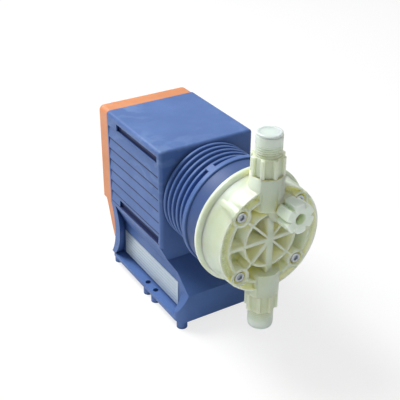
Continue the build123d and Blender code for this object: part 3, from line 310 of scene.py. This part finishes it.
def coiled(name, radius, wire, low, high, rounds, sides=12):
    """Tube round the line (radius cos a, y, radius sin a) about the drive's axis, where y climbs
    by 2.1 wire radii over the first and the last turn and evenly over those between."""
    angle = np.linspace(0, 2 * pi * rounds, 48 * rounds + 1)[:, None]
    knots = [0, 2 * pi, 2 * pi * (rounds - 1), 2 * pi * rounds]
    levels = [low + wire, low + 3.1 * wire, high - 3.1 * wire, high - wire]
    around = np.linspace(0, 2 * pi, sides, endpoint=False)
    out = radius + wire * np.cos(around)
    level = np.interp(angle, knots, levels) + wire * np.sin(around)
    points = np.stack([out * np.cos(angle), level, axis_z + out * np.sin(angle)], axis=-1)
    grid = np.arange(points[..., 0].size).reshape(points.shape[:2])
    after = np.roll(grid, -1, axis=1)
    tube = np.stack((grid[:-1], after[:-1], after[1:], grid[1:]), axis=-1).reshape(-1, 4)
    return meshed(name, points, tube.tolist() + [grid[0].tolist(), grid[-1].tolist()])


seat, back = (1000 * corner[1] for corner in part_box("return_spring"))
stroke, slack = 1.25, 0.05
spring = fit("coil_spring",
             coiled("coil_spring", radius=7.5, wire=0.7, low=seat + slack, high=back - slack,
                    rounds=4),
             steel, "drive", "steel", "return_spring", crease=50.0)
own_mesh(spring)


# Backplate and dosing head. Natural polypropylene: milky and a little green, with a painted
# glow, lighter and olive, in the deep pockets, standing for the light that has come through
# several ribs. The head's four counterbores close to 5.7 mm round the washers, and its waist
# fills to a straight flare towards the backplate.
def natural(name, colour, milk, pocket_light_and_shade, hidden, edge=0.0003, thin=None):
    """Unfilled polypropylene: light scatters under the skin, clouds turn the colour to milk, and
    where walls stand closer together than 11 mm it turns towards the pocket colour, by hidden at
    most: a painted glow of light come through the walls where that colour is lighter, painted
    shade where it is darker. It turns to thin towards the open ends of the ports, 70 to 80 mm
    from their middle at z = 116 mm."""
    material, add, paint = wiring(name)
    place = add("TexCoord").outputs["Object"]
    cloud = noise(add, place, 42.0, 4.0, 0.55)
    body = blended(add, between(add, cloud, 0.38, 0.66, 0.0, 1.0), colour, milk)
    closed = add("AmbientOcclusion", Distance=0.011, samples=8).outputs["AO"]
    body = blended(add, between(add, closed, 0.1, 0.8, hidden, 0.0), body, pocket_light_and_shade)
    if thin:
        height = figure(add, "SUBTRACT", add("SeparateXYZ", place).outputs["Z"], 0.116)
        away = figure(add, "ABSOLUTE", height)
        body = blended(add, between(add, away, 0.07, 0.08, 0.0, 0.9), body, thin)
    paint(Base_Color=body, Roughness=between(add, cloud, 0.3, 0.7, 0.28, 0.44),
          Subsurface_Weight=0.9, Subsurface_Radius=(1.0, 1.0, 0.85), Subsurface_Scale=0.009,
          Normal=relief(add, noise(add, place, 700.0, 3.0), 0.00005, 0.5, edge))
    return material


def reshaped(mesh, change):
    """Move a mesh's corners by a function of their coordinates, both in millimetres."""
    corner = np.empty(3 * len(mesh.vertices))
    mesh.vertices.foreach_get("co", corner)
    mesh.vertices.foreach_set("co", (change(corner.reshape(-1, 3) * 1000) / 1000).ravel())


def pushed(corner, centre, wanted):
    """Corners moved away from or towards a centre in x and z, to the radius that wanted gives
    for their present one."""
    away = corner[:, [0, 2]] - centre
    radius = np.linalg.norm(away, axis=1, keepdims=True)
    moved = corner.copy()
    moved[:, [0, 2]] = centre + away * (wanted(radius) / np.maximum(radius, 1e-9))
    return moved


head_front, head_back = -120.5, -97.5
bolt_seat, bolt_circle_r = head_front + 5.1, 37.7
turns = np.radians([45, 135, 225, 315])
bolt_centres = np.stack([bolt_circle_r * np.cos(turns), 0 * turns + bolt_seat,
                         axis_z + bolt_circle_r * np.sin(turns)], axis=-1)


def moulded_head(corner):
    """Counterbore walls, 6.4 mm from a bolt's axis, go to 5.7 mm. In the waist, within 8 mm of
    the backplate, the radius is at least 47.6 mm less a quarter of the distance from it."""
    for centre in bolt_centres:
        bored = corner[:, 1:2] < bolt_seat + 1.2
        corner = pushed(corner, centre[[0, 2]], lambda radius: np.where(
            bored & (np.abs(radius - 6.4) < 0.05), 5.7, radius))
    ahead = head_back - corner[:, 1:2]
    waist = (ahead > 0.05) & (ahead < 8.1)
    return pushed(corner, [0, axis_z], lambda radius: np.where(
        waist & (radius > 43.9), np.maximum(radius, 47.6 - 0.25 * ahead), radius))


# Its pockets are painted a lighter yellow: a painted glow standing for light come through the
# walls.
pp = natural("natural_pp", linear(200, 211, 182), linear(206, 219, 200), linear(250, 243, 140),
             hidden=0.9, edge=0.0006)
dress(pp, "backplate")
head = nodes["dosing_head"].data.copy()
head.name = "ribbed_head"
work = bmesh.new()
work.from_mesh(head)
bmesh.ops.remove_doubles(work, verts=work.verts, dist=1e-6)
work.to_mesh(head)
work.free()
reshaped(head, moulded_head)
head.materials.clear()
fit("ribbed_head", head, pp, "pump", "natural_pp", "dosing_head", crease=30.0)


# Screws of the liquid end. Four M5 socket screws of stainless steel with a washer under each
# head, sunk in the head's counterbores and screwed into the brass inserts of the drum.
def eased(corners, cut, closed=False, steps=5):
    """A profile with rounded corners: each corner p gives way to the curve
    (1 - t)^2 a + 2 t (1 - t) p + t^2 b, whose ends a and b lie cut away from p on its sides."""
    point = np.array(corners, float)
    t = np.linspace(0, 1, steps)[:, None]
    sides = [np.roll(point, shift, axis=0) - point for shift in (1, -1)]
    lengths = [np.linalg.norm(side, axis=1, keepdims=True) for side in sides]
    share = np.minimum(cut, 0.45 * np.minimum(*lengths))
    first, last = (point + side / length * share for side, length in zip(sides, lengths))
    if not closed:
        first[[0, -1]] = last[[0, -1]] = point[[0, -1]]
    arcs = ((1 - t) ** 2 * first[:, None] + 2 * t * (1 - t) * point[:, None]
            + t ** 2 * last[:, None])
    return arcs.reshape(-1, 2)


def turned(name, profile, centres, along, closed=False, swell=None, segments=64):
    """Surface swept by a profile of (radius, distance) pairs round each axis:
    centre + distance * along + radius * (u cos a + v sin a), where swell may change the radius
    with the distance and the angle a. An open profile starts and ends on the axis."""
    w = np.array(along, float)
    u = np.array([0.0, -1.0, 0.0]) if abs(w[2]) > 0.5 else np.array([1.0, 0.0, 0.0])
    v = np.cross(w, u)
    angle = np.linspace(0, 2 * pi, segments, endpoint=False)
    radius, distance = profile[:, :1] + 0 * angle, profile[:, 1:]
    if swell:
        radius = swell(radius, distance, angle)
    ring = radius[..., None] * (np.cos(angle)[:, None] * u + np.sin(angle)[:, None] * v)
    points = np.reshape(centres, (-1, 1, 1, 3)) + distance[..., None] * w + ring
    grid = np.arange(points[..., 0].size).reshape(points.shape[:3])
    after = np.roll(grid, -1, axis=2)
    if closed:
        faces = (grid, after, np.roll(after, -1, axis=1), np.roll(grid, -1, axis=1))
    else:
        faces = (grid[:, :-1], after[:, :-1], after[:, 1:], grid[:, 1:])
    return meshed(name, points, np.stack(faces, axis=-1).reshape(-1, 4).tolist())


def hexagon(radius, distance, angle):
    """The socket's rows, forward of its floor and within 2.5 mm of the axis, become a hexagon:
    radius times cos 30 over cos of the angle from the nearest flat's middle."""
    flat = (angle + pi / 6) % (pi / 3) - pi / 6
    across = radius * cos(pi / 6) / np.cos(flat)
    return np.where((distance > 2.1) & (radius < 2.45) & (radius > 1.9), across, radius)


forward = (0, -1, 0)
screw_profile = np.vstack([
    [[0, 1.9], [1.2, 2.2], [2.3, 2.45], [2.3, 3.5], [2.3, 4.75]],
    eased([[2.3, 4.75], [2.75, 5.0], [3.75, 5.0], [4.25, 4.5], [4.25, 0.0], [2.5, 0.0],
           [2.5, -33.4], [1.8, -34.4], [0, -34.4]], 0.25),
])
fit("socket_screws",
    turned("socket_screws", screw_profile, bolt_centres, forward, swell=hexagon),
    metal("screw_steel", linear(186, 192, 198), rough=0.34), "pump", "steel", "head_bolts")
washer_profile = eased([[2.75, -1.0], [5.0, -1.0], [5.0, 0.0], [2.75, 0.0]], 0.25, closed=True)
fit("screw_washers",
    turned("screw_washers", washer_profile, bolt_centres, forward, closed=True),
    metal("washer_steel", linear(226, 230, 232), rough=0.36), "pump", "steel", "head_washers")


# Bleed seat. The bleed valve stands on the head's moulded shoulder, which leans towards the
# discharge port: a cone of radius 13.2 mm at its foot and 10.2 mm at the knob.
def leaning(corner):
    """Shear by 0.3 mm along x for each mm of y from the shoulder's front at y = -126.5 mm."""
    return corner - [0.3, 0, 0] * (corner[:, 1:2] + 126.5)


bleed_x, bleed_z = 11.0, 140.0
shoulder_profile = eased([[8.6, 0.2], [10.2, 0.2], [11.4, -1.2], [13.2, -8.0], [13.2, -13.0],
                          [8.6, -13.0]], 0.9, closed=True)
shoulder = turned("bleed_shoulder", shoulder_profile, (bleed_x, -126.5, bleed_z), forward,
                  closed=True)
reshaped(shoulder, leaning)
fit("bleed_shoulder", shoulder, pp, "pump", "natural_pp")


# Valves. Each valve body is a natural polypropylene connector with a stub and O-ring in the
# head's boss, eight grip ribs and a G 1/2 thread. Under it a ceramic ball lies on a white seat. A
# milky push-in plug closes the thread until the pump is piped up.
grip_length, thread_start, thread_end = 15.8, 16.6, 25.6
pitch = 1.8143


def connector(turn, outward):
    """The radius of a valve body. On the grip it swells from 11.4 to 13.5 mm over eight ribs,
    3.6 mm wide and rounded; on the thread it falls by up to 0.95 mm as the ridge 1 - |2 f - 1|,
    where f is the whole-turn part of distance / pitch - angle / 2 pi, faded out at both ends."""
    rib_height, rib_half, rib_flank, rib_end = 2.1, 2.15, 0.8, 0.5
    groove, flank_share, fade_length = 0.95, 1.6, 0.9

    def swell(radius, distance, angle):
        arc = np.abs((angle - radians(turn) + pi / 8) % (pi / 4) - pi / 8) * 12.5
        rib = np.clip((rib_half - arc) / rib_flank, 0, 1)
        rib = rib * rib * (3 - 2 * rib)
        end = np.clip(np.minimum(distance + 0.02, grip_length + 0.02 - distance) / rib_end, 0, 1)
        on_grip = (radius > 10.9) * (distance < grip_length + 0.1) * (distance > -0.1)
        ridge = 1 - np.abs(2 * ((distance / pitch - outward * angle / (2 * pi)) % 1) - 1)
        fade = np.clip(np.minimum(distance - thread_start, thread_end - distance) / fade_length,
                       0, 1)
        on_thread = (radius > 10.3) * (distance > thread_start - 0.1)
        return (radius + on_grip * rib_height * rib * np.sqrt(end)
                - on_thread * groove * (1 - np.minimum(ridge * flank_share, 1)) * fade)
    return swell


# Ports and plugs are painted a darker olive in their pockets: painted shade.
ports = natural("port_pp", linear(206, 214, 184), linear(214, 226, 206), linear(186, 190, 124),
                hidden=0.6, thin=linear(226, 246, 224))
milky = natural("white_plug", linear(204, 224, 212), linear(212, 230, 218),
                linear(188, 206, 182), hidden=0.4, edge=0.0004)
# For each port: the height of the boss's mouth, the way out, the stub's length below the mouth,
# the turn of the first rib in degrees, and the bore's corners inside the stub.
for side, mouth, outward, stub, turn, bore in (
        ("discharge", 168.7, 1, 19.5, -8.0, [[3.6, -6.5], [5.3, -6.5], [5.3, -19.5]]),
        ("suction", 63.4, -1, 5.1, 1.0, [[3.6, -5.1]])):
    port = (0.0, -112.6, mouth)
    rise = np.arange(thread_start, 31.3, pitch / 10)[:, None]
    profile = np.vstack([
        eased([[9.6, -stub], [9.6, 0.0], [11.4, 0.0], [11.4, 0.25], [11.4, 0.6], [11.4, 8.0],
               [11.4, 15.2], [11.4, 15.55], [11.4, 15.8], [10.48, 15.8]], 0.12),
        np.hstack([10.48 + 0 * rise, rise]),
        eased([[10.48, 31.3], [9.6, 32.1], [6.5, 32.1], [6.5, 4.0], [3.6, 4.0]] + bore, 0.3),
    ])
    body = turned(side + "_connector", profile, port, (0, 0, outward), closed=True,
                  swell=connector(turn * outward, outward), segments=192)
    fit(side + "_connector", body, ports, "pump", "natural_pp", side + "_valve_body", crease=50.0)
    cap = eased([[0, 33.6], [7.2, 33.6], [8.1, 34.1], [9.3, 34.1], [10.1, 33.3], [10.1, 32.1],
                 [6.4, 32.1], [6.4, 23.1], [0, 23.1]], 0.45)
    fit(side + "_cap", turned(side + "_cap", cap, port, (0, 0, outward)), milky, "pump",
        "white_plug", side + "_plug")
dress(white, "discharge_valve_seat", "suction_valve_seat")
dress(moulded("ceramic", linear(228, 226, 220), linear(236, 236, 232), rough=0.25, grain=2000.0,
              depth=0.00001, edge=0.0, corner_shade=0.2), "discharge_ball", "suction_ball")
dress(pp, "suction_ball_cage")
dress(rubber, "discharge_seal", "suction_seal", "bleed_seal")


# Bleed valve. A star knob with six blunt teeth on a hollow spindle, in the same natural
# polypropylene, unscrews by hand and lets air out through its mouth.
def star(radius, distance, angle):
    """The knob's radius: six teeth 12.6 mm out and 8.4 mm wide, on a core of 8.7 mm, joined by
    soft minimum and maximum. Rows between mouth and rim take their share of it."""
    tip, half_width, core, blunt = 12.6, 4.2, 8.7, 4
    arc = np.abs((angle - radians(35) + pi / 6) % (pi / 3) - pi / 6)
    flank = np.minimum(tip, half_width / np.maximum(np.sin(arc), 0.05))
    tooth = 0.17 - np.logaddexp(-blunt * flank, -blunt * tip) / blunt
    shape = np.minimum(np.logaddexp(blunt * tooth, blunt * core) / blunt, tip)
    return np.where(radius > 4.6, 4.5 + (radius - 4.5) * (shape - 4.5) / (tip - 4.5), radius)


knob_profile = eased([[4.0, 0.0], [12.6, 0.0], [12.6, 4.0], [12.6, 10.0], [12.6, 14.5],
                      [4.5, 14.5], [4.5, 8.5], [4.0, 8.5]], 0.8, closed=True)
# The knob is painted darker and olive between its teeth: painted shade.
knob_pp = natural("knob_pp", linear(220, 235, 218), linear(228, 241, 230), linear(206, 216, 172),
                  hidden=0.4)
fit("bleed_star",
    turned("bleed_star", knob_profile, (bleed_x, -127.5, bleed_z), forward, closed=True,
           swell=star, segments=240),
    knob_pp, "bleed_screw", "natural_pp", "bleed_knob", crease=60.0)
dress(pp, "bleed_spindle")


# Operating panel. A foil dial lies under the fluted knob for the stroke length. Beside it are the
# rate knob on its switch and three status lenses. Scales and pointer are printed: thin bars, and
# the plain numbers 0 to 100.
def strokes(name, centre, y, angles, inner, outer, width, thick):
    """Radial bars round a centre: for each angle the corners are inner or outer along the radius,
    half the width to either side of it, at depth y and y + thick."""
    out = np.stack([-np.sin(angles), 0 * angles, np.cos(angles)], axis=-1)[:, None]
    aside = np.stack([np.cos(angles), 0 * angles, np.sin(angles)], axis=-1)[:, None]
    pick = np.array([[i, j, k] for i in (0, 1) for j in (-0.5, 0.5) for k in (0, 1)])
    points = (np.array([centre[0], y, centre[1]]) + (inner + (outer - inner) * pick[:, :1]) * out
              + width * pick[:, 1:2] * aside + thick * pick[:, 2:] * np.array([0, 1, 0]))
    box = np.array([[0, 1, 3, 2], [4, 6, 7, 5], [0, 4, 5, 1], [2, 3, 7, 6], [0, 2, 6, 4],
                    [1, 5, 7, 3]])
    faces = box + 8 * np.arange(len(angles))[:, None, None]
    return meshed(name, points, faces.reshape(-1, 4).tolist())


def number_mesh(text, x, y, z):
    """Upright figures 3.1 mm high, facing backwards, centred on a point in millimetres."""
    words = bpy.data.curves.new("dial_number", "FONT")
    words.body = text
    words.size = 0.0031
    words.extrude = 0.00003
    words.align_x = words.align_y = "CENTER"
    holder = bpy.data.objects.new("dial_number", words)
    bpy.context.scene.collection.objects.link(holder)
    bpy.context.view_layer.update()
    mesh = bpy.data.meshes.new_from_object(holder.evaluated_get(
        bpy.context.evaluated_depsgraph_get()))
    bpy.data.objects.remove(holder)
    facing = Matrix(((-1, 0, 0), (0, 0, 1), (0, 1, 0))).to_4x4()
    mesh.transform(Matrix.Translation((x / 1000, y / 1000, z / 1000)) @ facing)
    return mesh


dial_foil = moulded("dial_foil", linear(224, 224, 220), linear(232, 232, 230), rough=0.4,
                    depth=0.00002, edge=0.0, corner_shade=0.2)
dress(dial_foil, "stroke_dial")
dress(black, "stroke_knob", "rate_switch", "rate_knob")
dress(steel, "rate_shaft")
ink = moulded("dial_ink", linear(44, 46, 50), linear(70, 72, 76), grain=2500.0, depth=0.00001,
              edge=0.0, corner_shade=0.0)
white_ink = moulded("pointer_paint", linear(232, 232, 228), linear(240, 240, 238), rough=0.45,
                    grain=2500.0, depth=0.00001, edge=0.0, corner_shade=0.0)
dial_front, number_r = 88.6, 22.1
fit("dial_ticks",
    strokes("dial_ticks", (0, axis_z), dial_front, np.radians(-150 + 15 * np.arange(21)),
            inner=18.6, outer=20.2, width=0.3, thick=0.05),
    ink, "pump", "dial_foil")
for number in range(0, 101, 20):
    turn = radians(-150 + 3 * number)
    mesh = number_mesh(str(number), -number_r * sin(turn), dial_front,
                       axis_z + number_r * cos(turn))
    fit(f"dial_number_{number}", mesh, ink, "pump", "dial_foil")
fit("stroke_pointer",
    strokes("stroke_pointer", (0, axis_z), 104.85, np.radians([150.0]), inner=5.0, outer=14.6,
            width=1.0, thick=0.12),
    white_ink, "stroke_adjuster", "dial_foil")
fit("rate_ticks",
    strokes("rate_ticks", (-24.0, 144.5), 88.0, np.radians(-27 * np.arange(11)), inner=9.0,
            outer=10.4, width=0.4, thick=0.05),
    white_ink, "pump", "dial_foil")
dress(moulded("lens", linear(92, 176, 96), linear(150, 210, 150), rough=0.18, depth=0.00001),
      "status_lenses")

# Connections under the panel. Two round signal sockets closed by screw caps, and the gland for
# the mains cable with its domed nut, all in black plastic.
dress(black, "signal_sockets", "socket_caps", "cable_gland", "gland_nut")

# Control board. Glass-fibre board under green solder resist, on posts behind the right wall, with
# the transformer, relay, terminals and capacitors in black.
dress(moulded("board_green", linear(40, 110, 62), linear(90, 150, 100), rough=0.4, grain=800.0,
              depth=0.00002), "circuit_board")
dress(black, "board_components")

# Studio. The pump stands on a wide sheet of white paper. A large soft box hangs high behind it on
# the left, a weak one in front, and the white room fills the shadows.
scene = bpy.context.scene
world = bpy.data.worlds.new("studio")
world.use_nodes = True
scene.world = world
add, fill = maker(world.node_tree)
ray = add("LightPath").outputs
clear = every(add, "MAXIMUM", ray["Is Camera Ray"], ray["Is Transmission Ray"],
              ray["Is Glossy Ray"])
fill(world.node_tree.nodes["Background"], Color=(1, 1, 1, 1),
     Strength=between(add, clear, 0.0, 1.0, 0.32, 1.0))

paper, add, paint = wiring("white_paper")
paint(Base_Color=(0.93, 0.93, 0.93, 1), Roughness=0.95)
paper_nodes = paper.node_tree.nodes
ray = add("LightPath").outputs
clear = figure(add, "MAXIMUM", ray["Is Camera Ray"], ray["Is Transmission Ray"])
lit = add("MixShader", figure(add, "MULTIPLY", clear, 0.75),
          paper_nodes["Principled BSDF"].outputs[0],
          add("Emission", Color=(1, 1, 1, 1)).outputs[0])
paper.node_tree.links.new(lit.outputs[0], paper_nodes["Material Output"].inputs["Surface"])
reach = 40.0
floor_mesh = bpy.data.meshes.new("floor")
floor_mesh.from_pydata([(-reach, -reach, 0), (reach, -reach, 0), (reach, reach, 0),
                        (-reach, reach, 0)], [], [(0, 1, 2, 3)])
floor_mesh.materials.append(paper)
floor = bpy.data.objects.new("floor", floor_mesh)
scene.collection.objects.link(floor)


def lamp(name, place, aim, size, power):
    """A square soft box at place, turned to aim."""
    light = bpy.data.lights.new(name, "AREA")
    light.shape = "SQUARE"
    light.size = size
    light.energy = power
    holder = bpy.data.objects.new(name, light)
    holder.location = place
    holder.rotation_euler = (Vector(aim) - Vector(place)).to_track_quat("-Z", "Y").to_euler()
    scene.collection.objects.link(holder)


lamp("key", (-0.46, 0.78, 1.4), aim=(0, 0, 0.1), size=0.7, power=30.5)
lamp("fill", (-0.2, -1.1, 1.0), aim=(0, -0.1, 0.1), size=0.8, power=1.6)

# Camera. It stands at the eye height of somebody who looks down on the bench, to the left of the
# pump's nose, far enough away to keep the box's edges nearly parallel.
pan, tilt, roll = -0.549, 0.518, 0.008
view = bpy.data.cameras.new("camera")
view.sensor_width = 36.0
view.lens = 75.6
camera = bpy.data.objects.new("camera", view)
camera.matrix_world = (
    Matrix.Translation((-0.3305, -0.5571, 0.4592))
    @ Matrix.Rotation(pan, 4, "Z")
    @ Matrix.Rotation(pi / 2 - tilt, 4, "X")
    @ Matrix.Rotation(roll, 4, "Z")
)
scene.collection.objects.link(camera)
scene.camera = camera
scene.view_settings.view_transform = "Standard"
